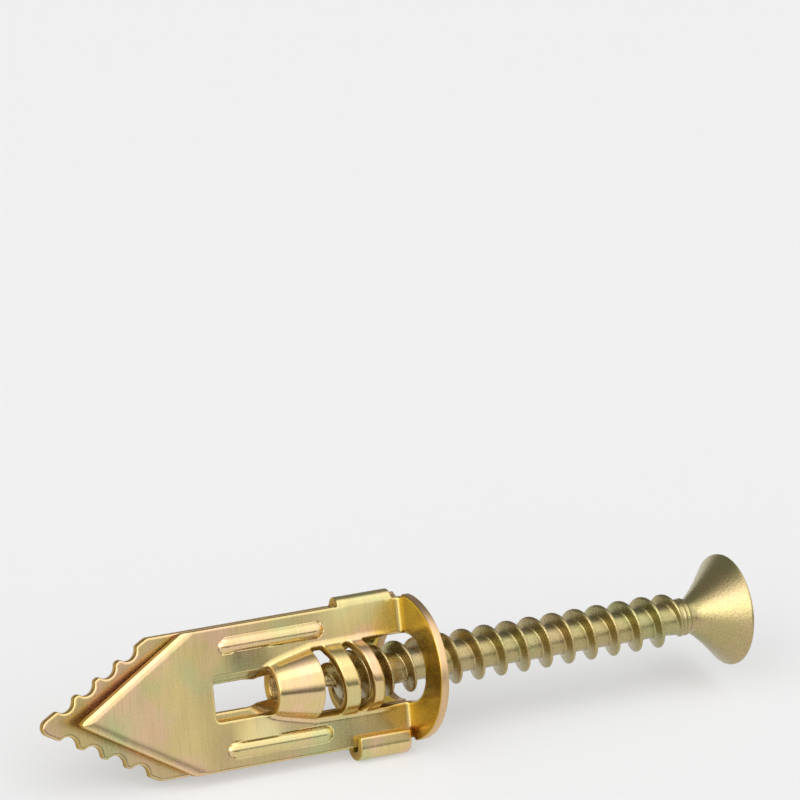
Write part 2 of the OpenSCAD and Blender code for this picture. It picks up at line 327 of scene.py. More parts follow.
@dataclass(frozen=True)
class Softbox:
    """A square studio lamp.

    Attributes:
        name: The lamp's name.
        place: Where it hangs, in metres.
        size: Its side, in metres.
        power: Its power in watts.
    """

    name: str
    place: tuple[float, float, float]
    size: float
    power: float

    def hang(self, aim: Vector) -> None:
        """Adds the lamp.

        Args:
            aim: The point that it faces.
        """
        lamp = bpy.data.lights.new(self.name, "AREA")
        lamp.size = self.size
        lamp.energy = self.power
        holder = link(self.name, lamp)
        holder.location = self.place
        holder.rotation_euler = (aim - Vector(self.place)).to_track_quat("-Z", "Y").to_euler()


@dataclass
class Studio:
    """The pale floor, the soft lamp, the surroundings and the camera.

    The surroundings are bright in front and dark where they are low and in front, so that upright faces get
    a shade. A range names where a change starts and where it is full, as a part of the way looked along.

    Attributes:
        aim: The point that the view was measured from, on the flange's wall side.
        right: The picture's right, in the frame.
        up: The picture's up.
        distance: From that point to the lens.
        offset: How far beside that point, along right and up, the lens looks.
        sensor_mm: The width of the sensor.
        lens_mm: The focal length.
        clip: The nearest and farthest distance that the camera sees.
        floor_half: Half the floor's side.
        floor_colour: The floor's colour.
        floor_glow: How much the floor's colour is lifted where it is seen, directly or in metal.
        back_glow: Brightness of the surroundings behind the object.
        front_glow: How much brighter they are in front.
        front_range: Where front ends, along Y.
        low_range: Where low ends, upwards.
        point_range: Where the dark part starts, from the side of the points.
        head_range: Where it is partly lit again, on the side of the head.
        head_light: How much of it is lit there.
        dimming: How dark the dark part is, from 0 to 1.
        far_range: Where the surroundings beyond the points are dimmed.
        far_dimming: How much they are dimmed.
        side_box: The way to the bright lamp beside the points.
        box_range: Where its light starts and is full, as the cosine of the angle to it.
        box_glow: Its brightness.
        lamp_aim: The point that the soft lamp faces.
        softboxes: The soft lamps.
        bounces: How often light is followed, for reflections between the blades.
    """

    aim: Vector
    right: Vector = field(default_factory=lambda: Vector((0.861, -0.495, 0.112)))
    up: Vector = field(default_factory=lambda: Vector((0.147, 0.454, 0.879)))
    distance: float = 0.9
    offset: tuple[float, float] = (-0.04 * MM, 19.64 * MM)
    sensor_mm: float = 36
    lens_mm: float = 549.3
    clip: tuple[float, float] = (0.05, 20)
    floor_half: float = 3.0
    floor_colour: Colour = (0.455, 0.455, 0.456, 1)
    floor_glow: float = 0.38
    back_glow: float = 0.25
    front_glow: float = 1.1
    front_range: tuple[float, float] = (-0.1, 0.5)
    low_range: tuple[float, float] = (0.12, 0.46)
    point_range: tuple[float, float] = (-1.0, -0.3)
    head_range: tuple[float, float] = (0.52, 0.64)
    head_light: float = 0.8
    dimming: float = 0.92
    far_range: tuple[float, float] = (-0.55, -0.8)
    far_dimming: float = 0.35
    side_box: tuple[float, float, float] = (-0.83, -0.36, 0.42)
    box_range: tuple[float, float] = (0.84, 0.985)
    box_glow: float = 2.3
    lamp_aim: tuple[float, float, float] = (0, 0, 0.005)
    softboxes: tuple[Softbox, ...] = (Softbox("top_box", (0.05, -0.25, 0.9), 0.5, 0.6),)
    bounces: int = 16

    def camera(self) -> None:
        """Sets up the camera."""
        data = bpy.data.cameras.new("camera")
        data.sensor_width = self.sensor_mm
        data.lens = self.lens_mm
        data.clip_start, data.clip_end = self.clip
        cam = link("camera", data)
        back = self.right.cross(self.up).normalized()
        right = self.up.cross(back).normalized()
        up = back.cross(right)
        lens = back * self.distance + up * self.offset[1] / 2
        cam.location = self.aim + lens
        ahead = (right * self.offset[0] + up * self.offset[1] - lens).normalized()
        side = ahead.cross(up).normalized()
        cam.rotation_euler = Matrix((side, side.cross(ahead), -ahead)).transposed().to_euler()
        bpy.context.scene.camera = cam

    def floor(self) -> None:
        """Lays the floor."""
        mesh = bpy.data.meshes.new("floor")
        half = self.floor_half
        corners = [(-half, -half, 0), (half, -half, 0), (half, half, 0), (-half, half, 0)]
        mesh.from_pydata(corners, [], [(0, 1, 2, 3)])
        floor = link("floor", mesh)
        made = bpy.data.materials.new("floor")
        made.use_nodes = True
        shader = made.node_tree.nodes["Principled BSDF"]
        for socket, value in (("Base Color", self.floor_colour), ("Emission Color", WHITE),
                              ("Roughness", 0.7), ("Specular IOR Level", 0.2)):
            shader.inputs[socket].default_value = value
        g = Graph(made.node_tree)
        ray = g.add("ShaderNodeLightPath").outputs
        seen = g.math("MAXIMUM", ray["Is Camera Ray"], ray["Is Glossy Ray"])
        g.feed(shader.inputs["Emission Strength"], g.times(seen, self.floor_glow))
        floor.data.materials.append(made)

    def surroundings(self) -> None:
        """Gives the world its greys and the bright lamp beside the points."""
        world = bpy.data.worlds.new("studio")
        bpy.context.scene.world = world
        world.use_nodes = True
        tree = world.node_tree
        tree.nodes.clear()
        g = Graph(tree)
        way = g.add("ShaderNodeTexCoord").outputs["Generated"]
        side = g.add("ShaderNodeSeparateXYZ", inputs={0: way}).outputs
        front = g.rest(g.ramp(side[1], *self.front_range))
        glow = g.math("MULTIPLY_ADD", front, self.front_glow, self.back_glow)
        low = g.rest(g.ramp(side[2], *self.low_range))
        lit = g.math("MULTIPLY_ADD", g.ramp(side[0], *self.head_range), -self.head_light, 1.0)
        dark = g.times(low, g.times(g.ramp(side[0], *self.point_range), lit), front)
        glow = g.times(glow, g.math("MULTIPLY_ADD", dark, -self.dimming, 1.0))
        far = g.math("MULTIPLY_ADD", g.ramp(side[0], *self.far_range), -self.far_dimming, 1.0)
        facing = g.add("ShaderNodeVectorMath", operation="DOT_PRODUCT", inputs={0: way, 1: self.side_box})
        lamp = g.ramp(facing.outputs[1], *self.box_range)
        glow = g.math("MULTIPLY_ADD", lamp, self.box_glow, g.times(glow, far))
        shade = g.add("ShaderNodeBackground", inputs={"Color": WHITE, "Strength": glow})
        out = g.add("ShaderNodeOutputWorld")
        g.feed(out.inputs["Surface"], shade.outputs[0])

    def build(self) -> None:
        """Sets up everything round the object."""
        self.camera()
        self.floor()
        self.surroundings()
        for box in self.softboxes:
            box.hang(Vector(self.lamp_aim))
        scene = bpy.context.scene
        scene.view_settings.view_transform = "Standard"
        scene.cycles.max_bounces = scene.cycles.glossy_bounces = self.bounces


Loop = np.ndarray


def arc(centre: tuple[float, float], radius: float, start: float, end: float, steps: int = 24) -> list:
    """Returns points on an arc, in millimetres.

    Args:
        centre: The arc's centre.
        radius: The arc's radius.
        start: The first point's angle in degrees.
        end: The last point's angle in degrees.
        steps: The number of spans.

    Returns:
        The points, first and last included.
    """
    turns = np.radians(np.linspace(start, end, steps + 1))
    return [(centre[0] + radius * math.cos(t), centre[1] + radius * math.sin(t)) for t in turns]


def resample(loop: Loop, step: float) -> Loop:
    """Returns a closed loop's points again, evenly spaced.

    Args:
        loop: The corner points in order.
        step: The wanted spacing.

    Returns:
        The new points.
    """
    closed = np.vstack([loop, loop[:1]])
    run = np.concatenate([[0], np.cumsum(np.hypot(*np.diff(closed, axis=0).T))])
    at = np.linspace(0, run[-1], max(12, round(run[-1] / step)), endpoint=False)
    return np.column_stack([np.interp(at, run, closed[:, 0]), np.interp(at, run, closed[:, 1])])


def soften(loop: Loop, radius: float, step: float) -> Loop:
    """Rounds all corners of a closed loop, as a press tool does.

    Args:
        loop: The corner points in order.
        radius: About the radius that a square corner gets.
        step: The spacing of the returned points.

    Returns:
        The rounded loop.
    """
    spread = 3
    fine = resample(np.array(loop, float), radius / spread)
    reach = 3 * spread
    weights = np.exp(-0.5 * (np.arange(-reach, reach + 1) / spread) ** 2)
    weights /= weights.sum()
    rounded = sum(w * np.roll(fine, k, axis=0) for k, w in zip(range(-reach, reach + 1), weights))
    return resample(rounded, step)


def signed_area(loop: Loop) -> float:
    """Returns a loop's area, positive where it runs anticlockwise."""
    nxt = np.roll(loop, -1, axis=0)
    return float((loop[:, 0] * nxt[:, 1] - loop[:, 1] * nxt[:, 0]).sum() / 2)


def inside(points: np.ndarray, loops: list[Loop]) -> np.ndarray:
    """Tells which points lie in the material, by the even-odd rule.

    Args:
        points: The points to test.
        loops: The outline and the openings.

    Returns:
        One truth value for each point.
    """
    odd = np.zeros(len(points), bool)
    for loop in loops:
        nxt = np.roll(loop, -1, axis=0)
        for (ax, ay), (bx, by) in zip(loop, nxt):
            if ay == by:
                continue
            spans = (ay > points[:, 1]) != (by > points[:, 1])
            if spans.any():
                cut = ax + (points[spans, 1] - ay) * (bx - ax) / (by - ay)
                odd[np.flatnonzero(spans)[points[spans, 0] < cut]] ^= True
    return odd


@dataclass(frozen=True)
class Blade:
    """What differs between the two blades. Lengths in mm.

    Attributes:
        centre: Where its centre line lies across the flat blank.
        outward: +1 where its outer face looks along +X of the anchor, and -1 where it looks along -X.
        shoulder: Distance from the flange to the shoulders of its point.
        tip: Distance from the flange to its point.
        climb: How far its openings are moved towards the head, to follow the thread. The window's far end
            stays.
        window_half: Half width of its window.
        gap: Width of its loading gap.
        lift: Angle in degrees by which its point is bent outward.
        nose_r: Radius of its nose.
        teeth: Number of hollows in each edge of its point.
        bevel: Depth of the bevel along its point.
    """

    centre: float
    outward: int
    shoulder: float
    tip: float
    climb: float
    window_half: float
    gap: float
    lift: float = 0.0
    nose_r: float = 0.25
    teeth: int = 0
    bevel: float = 0.0


@dataclass
class AnchorSheet:
    """The anchor's folded sheet, cut as a flat blank and then folded, in mm in the anchor's own frame.

    In that frame +Z runs from the points to the head, Z = 0 is the wall side of the flange, and the seam
    between the blades is X = 0. Across the blank, 0 is the plain blade's centre line. A pair named for a
    stretch gives its two distances from the flange. A pair of a place and a length says where something
    starts to change and over how far.
    """

    # The sheet, the flange and the blades
    thickness: float = 0.65
    seam: float = 0.05
    fold_r: float = 0.35
    flange_r: float = 5.5
    flange_offset: float = 0.5
    root_half: float = 5.25
    blade_half: float = 5.3
    root_len: float = 5.3
    # The bend that joins the blades, and the lip that locks them
    bridge: tuple[float, float] = (0.6, 5.15)
    lip: tuple[float, float] = (0.45, 4.7)
    lip_gap: float = 0.05
    lip_reach: float = 0.75
    bend_room: float = 0.2
    # The hollows in the toothed point
    tooth_pitch: float = 2.1
    tooth_r: float = 0.85
    tooth_depth: float = 0.6
    tooth_start: float = 1.95
    # The channel, and the throat that it narrows to
    bore_r: float = 2.06
    throat_r: float = 1.38
    throat: tuple[float, float] = (7.85, 11.3)
    throat_soft: float = 0.15
    foot_r: float = 0.9
    nose_start: float = 0.2
    nose_slope: float = 0.35
    nose_soft: float = 0.3
    channel_fade: tuple[float, float] = (2.3, 1.5)
    # The openings
    window_end: float = 16.15
    window_corner_r: float = 0.35
    slot_half: float = 2.45
    slot_w: float = 1.15
    slot_pos: float = 4.5
    slot_lean: float = 10.98
    hole_start: float = 3.05
    hole_half: float = 2.55
    # The ribs, and the slope between each rib and the window
    rib_y: float = 3.85
    rib: tuple[float, float] = (6.6, 15.4)
    rib_r: float = 0.62
    rib_h: float = 0.35
    rib_soft: float = 0.03
    flank_w: float = 2.1
    flank_h: float = 0.15
    flank_back: float = 0.3
    flank_start: tuple[float, float] = (0.3, 0.35)
    flank_end: tuple[float, float] = (0.1, 1.6)
    # The barrel at the root, the crease of the plain point and its bevel
    barrel_h: float = 0.12
    barrel_start: tuple[float, float] = (7.5, 2.5)
    barrel_end: float = 2.0
    crease: float = 16.7
    crease_soft: float = 0.5
    bevel_w: float = 0.5
    bevel_low: float = 0.35
    # The cut edges and the mesh
    edge_r: float = 0.09
    corner_r: float = 0.10
    edge_step: float = 0.12
    face_steps: tuple[float, float] = (0.12, 0.17)
    edge_rows: tuple[float, ...] = (0.12, 0.26, 0.42)
    row_clear: float = 0.93
    flange_tint: tuple[float, float] = (0.3, 0.8)
    # Waviness: the turn of each wave for each mm along and across the blank, where it starts, and its share
    ripple_h: float = 0.012
    waves: tuple[tuple[float, float, float, float], ...] = (
        (0.75, 0.12, 0.6, 1.0), (1.25, -0.3, 2.1, 1.0), (0.9, 1.5, 0.0, 0.4))
    # How it lies, and its two blades
    toothed_tip: float = 30.05
    screw_face: float = 28.25
    blades: list[Blade] = field(default_factory=list)

    def __post_init__(self) -> None:
        """Works out the sizes that follow from the others."""
        half = self.thickness / 2
        self.mid = self.seam + half
        self.fold_x = self.seam + self.thickness + self.fold_r
        self.fold_mid = self.fold_r + half
        self.fold_end = self.fold_mid * math.pi / 2 - self.fold_r
        self.bridge_len = self.mid * math.pi
        self.lip_in = (2 * self.seam + self.thickness + self.lip_gap) / 2
        self.lip_x = self.lip_in - self.seam
        self.lip_mid = self.lip_in + half
        self.far_centre = -(2 * self.root_half + self.bridge_len)
        self.lip_v = self.far_centre - self.root_half
        self.blades = [
            Blade(centre=0.0, outward=1, shoulder=18.3, tip=27.6, climb=0.0, window_half=1.65, gap=1.55,
                  lift=4.5, bevel=0.25),
            Blade(centre=self.far_centre, outward=-1, shoulder=20.8, tip=self.toothed_tip, climb=0.975,
                  window_half=1.05, gap=2.2, nose_r=0.65, teeth=4),
        ]

    # ---- The flat blank

    def edge_turn(self, blade: Blade) -> tuple[float, float]:
        """Returns the direction out of a point's edge, and the edge's length from shoulder to nose.

        Args:
            blade: The blade.

        Returns:
            The direction as an angle, and the length.
        """
        run = blade.tip - blade.nose_r - blade.shoulder
        away = math.hypot(run, self.blade_half)
        turn = math.atan2(run, self.blade_half) + math.asin(blade.nose_r / away)
        return turn, math.sqrt(away**2 - blade.nose_r**2)

    def point_edge(self, blade: Blade) -> list:
        """Returns one blade's edges ahead of its shoulders, from -X round the nose to +X.

        Args:
            blade: The blade.

        Returns:
            The points in order.
        """
        turn, length = self.edge_turn(blade)
        out = Vector((math.sin(turn), -math.cos(turn)))
        along = Vector((-math.cos(turn), -math.sin(turn)))
        shoulder = Vector((self.blade_half, -blade.shoulder))
        edge = [tuple(shoulder)]
        half_mouth = math.sqrt(self.tooth_r**2 - (self.tooth_r - self.tooth_depth) ** 2)
        open_angle = math.asin(half_mouth / self.tooth_r)
        for k in reversed(range(blade.teeth)):
            middle = shoulder + along * (length - self.tooth_start - k * self.tooth_pitch)
            middle += out * (self.tooth_r - self.tooth_depth)
            for a in np.linspace(-open_angle, open_angle, 12):
                edge.append(tuple(middle + self.tooth_r * (along * math.sin(a) - out * math.cos(a))))
        edge.append(tuple(shoulder + along * length))
        degrees = math.degrees(turn) - 90
        nose = arc((0, blade.nose_r - blade.tip), blade.nose_r, -180 - degrees, degrees, 16)
        return [(-x, y) for x, y in edge] + nose[1:-1] + edge[::-1]

    def half_disc(self) -> list:
        """Returns one half disc of the flange, from its +X end of the fold to its -X end.

        Returns:
            The points in order.
        """
        centre_u = self.flange_offset - self.fold_x + self.fold_end
        start = math.degrees(math.asin((self.fold_end - centre_u) / self.flange_r))
        return arc((0, centre_u), self.flange_r, start, 180 - start, 72)

    def outline(self) -> Loop:
        """Returns the outline of the whole blank.

        Returns:
            The points in order.
        """
        plain, toothed = self.blades
        root, wide, step_u = self.root_half, self.blade_half, -self.root_len
        step = wide - root
        low, high = -self.bridge[1], -self.bridge[0]
        far = toothed.centre
        tab = self.lip_v - self.lip_mid * math.pi - self.lip_reach
        points = self.point_edge(plain)
        points += [(wide, step_u - step), (root, step_u), (root, self.fold_end)] + self.half_disc()
        points += [(-root, self.fold_end), (-root, high), (far + root, high), (far + root, self.fold_end)]
        points += [(far + x, u) for x, u in self.half_disc()]
        points += [(far - root, self.fold_end), (self.lip_v, -self.lip[0]), (tab, -self.lip[0])]
        points += [(tab, -self.lip[1]), (self.lip_v, -self.lip[1])]
        points += [(far - root, step_u), (far - wide, step_u - step)]
        points += [(far + x, u) for x, u in self.point_edge(toothed)]
        points += [(far + wide, step_u - step), (far + root, step_u), (far + root, low)]
        points += [(-root, low), (-root, step_u), (-wide, step_u - step)]
        return np.array(points)

    def openings(self, blade: Blade) -> list[Loop]:
        """Returns the openings punched in one blade.

        Args:
            blade: The blade.

        Returns:
            The window, the gap, the slot and the long opening.
        """
        climb, lean = blade.climb, math.radians(self.slot_lean)
        rise = self.slot_half * math.tan(lean)
        half, corner = blade.window_half, self.window_corner_r
        end, start = -self.window_end, climb - self.throat[1]
        window = arc((corner - half, end + corner), corner, 180, 270, 6)
        window += arc((half - corner, end + corner), corner, 270, 360, 6) + [(half, start), (-half, start)]
        near = climb - self.throat[0]
        gap = [(-self.slot_half, near), (self.slot_half, near), (self.slot_half, near + blade.gap + rise),
               (-self.slot_half, near + blade.gap - rise)]
        run = self.slot_half / math.cos(lean) - self.slot_w / 2
        slot = arc((run, 0), self.slot_w / 2, -90, 90, 12) + arc((-run, 0), self.slot_w / 2, 90, 270, 12)
        turn = np.array(((math.cos(lean), math.sin(lean)), (-math.sin(lean), math.cos(lean))))
        slot = np.array(slot) @ turn + (0, climb - self.slot_pos)
        low = climb - self.hole_start
        hole = [(-self.hole_half, low - rise), (self.hole_half, low + rise)]
        hole += arc((0, self.fold_end), self.hole_half, 0, 180, 30)
        return [np.array(loop) + (blade.centre, 0) for loop in (window, gap, slot, hole)]

    # ---- The shape that the press gives each blade

    @staticmethod
    def soften_ramp(past: np.ndarray, soft: float) -> np.ndarray:
        """Returns 0 before a corner and a straight rise after it, rounded over about soft at the corner."""
        return soft * np.logaddexp(0, past / soft)

    def bulge(self, x: np.ndarray, u: np.ndarray) -> np.ndarray:
        """Returns how far the channel and the throat stand off the flat, at the middle of the sheet.

        Args:
            x: How far each point is from the blade's centre line.
            u: How far along the screw it lies.

        Returns:
            One distance for each point.
        """
        half = self.thickness / 2
        slope = (self.bore_r - self.throat_r) / (self.throat[1] - self.throat[0])
        past, beyond = -self.throat[0] - u, -self.throat[1] - self.nose_start - u
        radius = self.bore_r + half - slope * self.soften_ramp(past, self.throat_soft)
        radius = radius - self.nose_slope * self.soften_ramp(beyond, self.nose_soft)
        radius = np.maximum(radius, -self.foot_r)
        level = self.mid + self.foot_r
        reach = np.sqrt(np.maximum((radius + self.foot_r) ** 2 - level**2, 0))
        crown = radius * reach / np.maximum(radius + self.foot_r, 1e-6)
        side = np.abs(x)
        top = np.sqrt(np.maximum(radius**2 - side**2, 0))
        foot = level - np.sqrt(np.maximum(self.foot_r**2 - (side - reach) ** 2, 0))
        rise = np.where(side < crown, top, np.where(side < reach, foot, self.mid)) - self.mid
        fade = 1 - np.clip((u + self.channel_fade[0]) / self.channel_fade[1], 0, 1)
        return np.maximum(rise, 0) * fade * fade * (3 - 2 * fade)

    def ribs(self, x: np.ndarray, u: np.ndarray) -> np.ndarray:
        """Returns the height of the two stiffening ribs.

        Args:
            x: How far each point is from the blade's centre line.
            u: How far along the screw it lies.

        Returns:
            One height for each point.
        """
        low, high = self.rib_r - self.rib[1], -self.rib[0] - self.rib_r
        across, along = np.abs(x) - self.rib_y, u - np.clip(u, low, high)
        ridge = np.cos(np.clip(np.hypot(across, along) / self.rib_r, 0, 1) * math.pi / 2) ** 2
        beside = 1 / (1 + np.exp((u + self.throat[1] - self.flank_start[0]) / self.flank_start[1]))
        slope = np.clip(1 + across / self.flank_w, 0, 1) * np.clip(1 - across / self.flank_back, 0, 1)
        slope = slope * beside
        slope *= np.clip((u + self.rib[1] - self.flank_end[0]) / self.flank_end[1], 0, 1)
        ridge, slope = self.rib_h * ridge, self.flank_h * slope
        return (ridge + slope + np.sqrt((ridge - slope) ** 2 + self.rib_soft**2) - self.rib_soft) / 2

    def height(self, blade: Blade, x: np.ndarray, u: np.ndarray) -> np.ndarray:
        """Returns the distance from the seam to the middle of the sheet.

        Args:
            blade: The blade.
            x: How far each point is from the blade's centre line.
            u: How far along the screw it lies.

        Returns:
            One distance for each point.
        """
        ahead = self.soften_ramp(-u - self.crease, self.crease_soft)
        root = np.clip((u + self.barrel_start[0]) / self.barrel_start[1], 0, 1)
        root = root * np.clip(-(u + self.fold_r) / self.barrel_end, 0, 1)
        barrel = self.barrel_h * root * (1 - (x / self.blade_half) ** 2)
        lift = ahead * math.tan(math.radians(blade.lift))
        return self.mid + self.bulge(x, u) + self.ribs(x, u) + barrel + lift

    def bevel_cut(self, blade: Blade, x: np.ndarray, u: np.ndarray) -> np.ndarray:
        """Returns what the bevel of a point takes off its outer face. It is lower on the +X edge.

        Args:
            blade: The blade.
            x: How far each point is from the blade's centre line.
            u: How far along the screw it lies.

        Returns:
            One depth for each point.
        """
        if not blade.bevel:
            return np.zeros_like(x)
        turn, _ = self.edge_turn(blade)
        inward = (self.blade_half - np.abs(x)) * math.sin(turn) + (u + blade.shoulder) * math.cos(turn)
        share = np.where(x > 0, self.bevel_low, 1.0)
        width = self.bevel_w * (1.5 - 0.5 * share)
        cut = np.clip(1 - inward / width, 0, 1)
        return blade.bevel * share * cut * cut * (2.0 - cut)

    def ripple(self, v: np.ndarray, u: np.ndarray) -> np.ndarray:
        """Returns the faint waviness that pressing leaves all over the sheet."""
        return self.ripple_h * sum(part * np.sin(along * u + across * v + start)
                                   for along, across, start, part in self.waves) / 2

    # ---- Folding

    def fold(self, v: np.ndarray, u: np.ndarray, up: np.ndarray) -> np.ndarray:
        """Moves points of the blank to where folding takes them.

        Args:
            v: How far across the blank each point lies.
            u: How far along the screw it lies.
            up: How far it is above the middle of the sheet.

        Returns:
            The points in the anchor's frame.
        """
        plain, toothed = self.blades
        placed = np.zeros((len(v), 3))
        up = up + self.ripple(v, u)
        in_bridge = (v < -self.root_half) & (v > toothed.centre + self.root_half)
        in_bridge &= (u > -self.bridge[1] - self.bend_room) & (u < -self.bridge[0] + self.bend_room)
        in_lip = (v < self.lip_v) & (u > -self.lip[1] - self.bend_room) & (u < -self.lip[0] + self.bend_room)
        turn = (-self.root_half - v[in_bridge]) / self.mid
        reach = self.mid + up[in_bridge]
        placed[in_bridge] = np.column_stack([reach * np.cos(turn), -self.root_half - reach * np.sin(turn),
                                             u[in_bridge]])
        past = np.maximum(self.lip_v - v[in_lip] - self.lip_mid * math.pi, 0)
        turn = (self.lip_v - v[in_lip] - past) / self.lip_mid
        reach = self.lip_mid + up[in_lip]
        placed[in_lip] = np.column_stack([self.lip_x - reach * np.cos(turn),
                                          self.root_half + reach * np.sin(turn) - past, u[in_lip]])
        between = (plain.centre + toothed.centre) / 2
        for blade in self.blades:
            flat = ~in_bridge & ~in_lip & ((v > between) == (blade.outward > 0))
            placed[flat] = self.fold_blade(blade, v[flat] - blade.centre, u[flat], up[flat])
        return placed

    def fold_blade(self, blade: Blade, x: np.ndarray, u: np.ndarray, up: np.ndarray) -> np.ndarray:
        """Folds one blade's points, with its half of the flange.

        Args:
            blade: The blade.
            x: How far each point is from the blade's centre line.
            u: How far along the screw it lies.
            up: How far it is above the middle of the sheet.

        Returns:
            The points in the anchor's frame.
        """
        tiny = 0.01
        z = np.minimum(u, -self.fold_r)
        high = self.height(blade, x, z)
        tilt_x = (self.height(blade, x + tiny, z) - self.height(blade, x - tiny, z)) / (2 * tiny)
        tilt_z = (self.height(blade, x, z + tiny) - self.height(blade, x, z - tiny)) / (2 * tiny)
        long = np.sqrt(1 + tilt_x**2 + tilt_z**2)
        turn = np.clip((u + self.fold_r) / self.fold_mid, 0, math.pi / 2)
        out = np.maximum(u - self.fold_end, 0)
        reach = self.fold_mid - up
        folded = np.column_stack([self.fold_x - reach * np.cos(turn) + out, x,
                                  reach * np.sin(turn) - self.fold_r])
        pressed = np.column_stack([high + up / long, x - up * tilt_x / long, z - up * tilt_z / long])
        made = np.where((u > -self.fold_r)[:, None], folded, pressed)
        return made * (blade.outward, blade.outward, 1)

    def lying(self) -> Matrix:
        """Returns the turn and move from the anchor's own frame in mm to how it lies, in metres.

        Returns:
            The turn, move and scale as one matrix.
        """
        lip_out = self.lip_in + self.thickness
        down = math.atan2(self.root_half, self.lip_x + self.flange_offset)
        apart = math.hypot(self.lip_x + self.flange_offset, self.root_half)
        down += math.acos((self.flange_r - lip_out) / apart)
        high = self.flange_r - self.flange_offset * math.cos(down)
        rest = Vector(((self.toothed_tip - self.screw_face) / 2, 0, high))
        turn = Matrix.Rotation(math.pi / 2, 4, "Y") @ Matrix.Rotation(-down, 4, "Z")
        return Matrix.Scale(MM, 4) @ Matrix.Translation(rest) @ turn

    # ---- The mesh

    def thick(self, v: np.ndarray, u: np.ndarray) -> np.ndarray:
        """Returns how far the outer face is above the middle of the sheet.

        Args:
            v: How far across the blank each point lies.
            u: How far along the screw it lies.

        Returns:
            One distance for each point.
        """
        plain = self.blades[0]
        on_plain = np.abs(v) <= self.blade_half + self.edge_r
        return self.thickness / 2 - np.where(on_plain, self.bevel_cut(plain, v - plain.centre, u), 0)

    def build(self) -> bpy.types.Object:
        """Makes the folded sheet's mesh.

        Returns:
            The new object.
        """
        loops = [soften(self.outline(), self.corner_r, self.edge_step)]
        for blade in self.blades:
            loops += [soften(loop, self.corner_r, self.edge_step) for loop in self.openings(blade)]
        loops = [loop if (signed_area(loop) > 0) == (k == 0) else loop[::-1] for k, loop in enumerate(loops)]
        outs = []
        for loop in loops:
            ahead = np.roll(loop, -1, axis=0) - np.roll(loop, 1, axis=0)
            outs.append(np.column_stack([ahead[:, 1], -ahead[:, 0]]) / np.hypot(*ahead.T)[:, None])
        inner = [loop - self.edge_r * out for loop, out in zip(loops, outs)]
        rim = np.vstack(inner)
        face = self.face_points(inner, outs, rim)
        points = np.vstack([rim, face])
        edges, first = [], 0
        for loop in inner:
            edges += [(first + k, first + (k + 1) % len(loop)) for k in range(len(loop))]
            first += len(loop)
        same = 1e-7
        made = delaunay_2d_cdt([Vector(p) for p in points], edges, [], 0, same)
        triangles = np.array(made[2])
        if len(made[0]) != len(points):
            raise ValueError("the blank's outline crosses itself")
        triangles = self.reachable(triangles, (triangles >= len(rim)).any(axis=1), edges)
        a, b, c = (points[triangles[:, k]] for k in range(3))
        turned = (b[:, 0] - a[:, 0]) * (c[:, 1] - a[:, 1]) < (b[:, 1] - a[:, 1]) * (c[:, 0] - a[:, 0])
        triangles[turned] = triangles[turned][:, ::-1]
        return self.skin(points, len(rim), triangles, loops, outs)

    @staticmethod
    def reachable(triangles: np.ndarray, sure: np.ndarray, edges: list[tuple[int, int]]) -> np.ndarray:
        """Keeps the triangles that can be reached from the sure ones without crossing an edge of the blank.

        Args:
            triangles: All triangles.
            sure: Which of them certainly lie in the material.
            edges: The edges of the blank, as pairs of points.

        Returns:
            The triangles that lie in the material.
        """
        fences = {frozenset(edge) for edge in edges}
        sides = [[frozenset((int(t[k]), int(t[k - 1]))) for k in range(3)] for t in triangles]
        beside = {}
        for n, trio in enumerate(sides):
            for side in trio:
                if side not in fences:
                    beside.setdefault(side, []).append(n)
        front = [int(n) for n in np.flatnonzero(sure)]
        kept = set(front)
        while front:
            for side in sides[front.pop()]:
                for n in beside.get(side, ()):
                    if n not in kept:
                        kept.add(n)
                        front.append(n)
        return triangles[sorted(kept)]

    def face_points(self, inner: list[Loop], outs: list[np.ndarray], rim: np.ndarray) -> np.ndarray:
        """Spreads points over the blank's faces: rows that follow its edges, and a grid between them.

        Args:
            inner: The outline and the openings, where the faces' rounding starts.
            outs: The direction out of the material at each of their points.
            rim: All their points.

        Returns:
            The new points.
        """
        tree = KDTree(len(rim))
        for k, p in enumerate(rim):
            tree.insert((p[0], p[1], 0), k)
        tree.balance()
        low, high = rim.min(axis=0), rim.max(axis=0)
        across, along = self.face_steps
        near = 0.5 * across
        grid = np.meshgrid(np.arange(low[0], high[0], across), np.arange(low[1], high[1], along))
        grid = np.column_stack([axis.ravel() for axis in grid])
        spread = [(grid[inside(grid, inner)], self.edge_rows[-1] + near)]
        for depth in self.edge_rows:
            row = np.vstack([loop - depth * out for loop, out in zip(inner, outs)])
            _, first = np.unique(np.round(row / near), axis=0, return_index=True)
            row = row[np.sort(first)]
            spread.append((row[inside(row, inner)], self.row_clear * depth))
        kept = []
        for points, clear in spread:
            far = np.array([tree.find((p[0], p[1], 0))[2] for p in points])
            kept.append(points[far > clear])
        return np.vstack(kept)

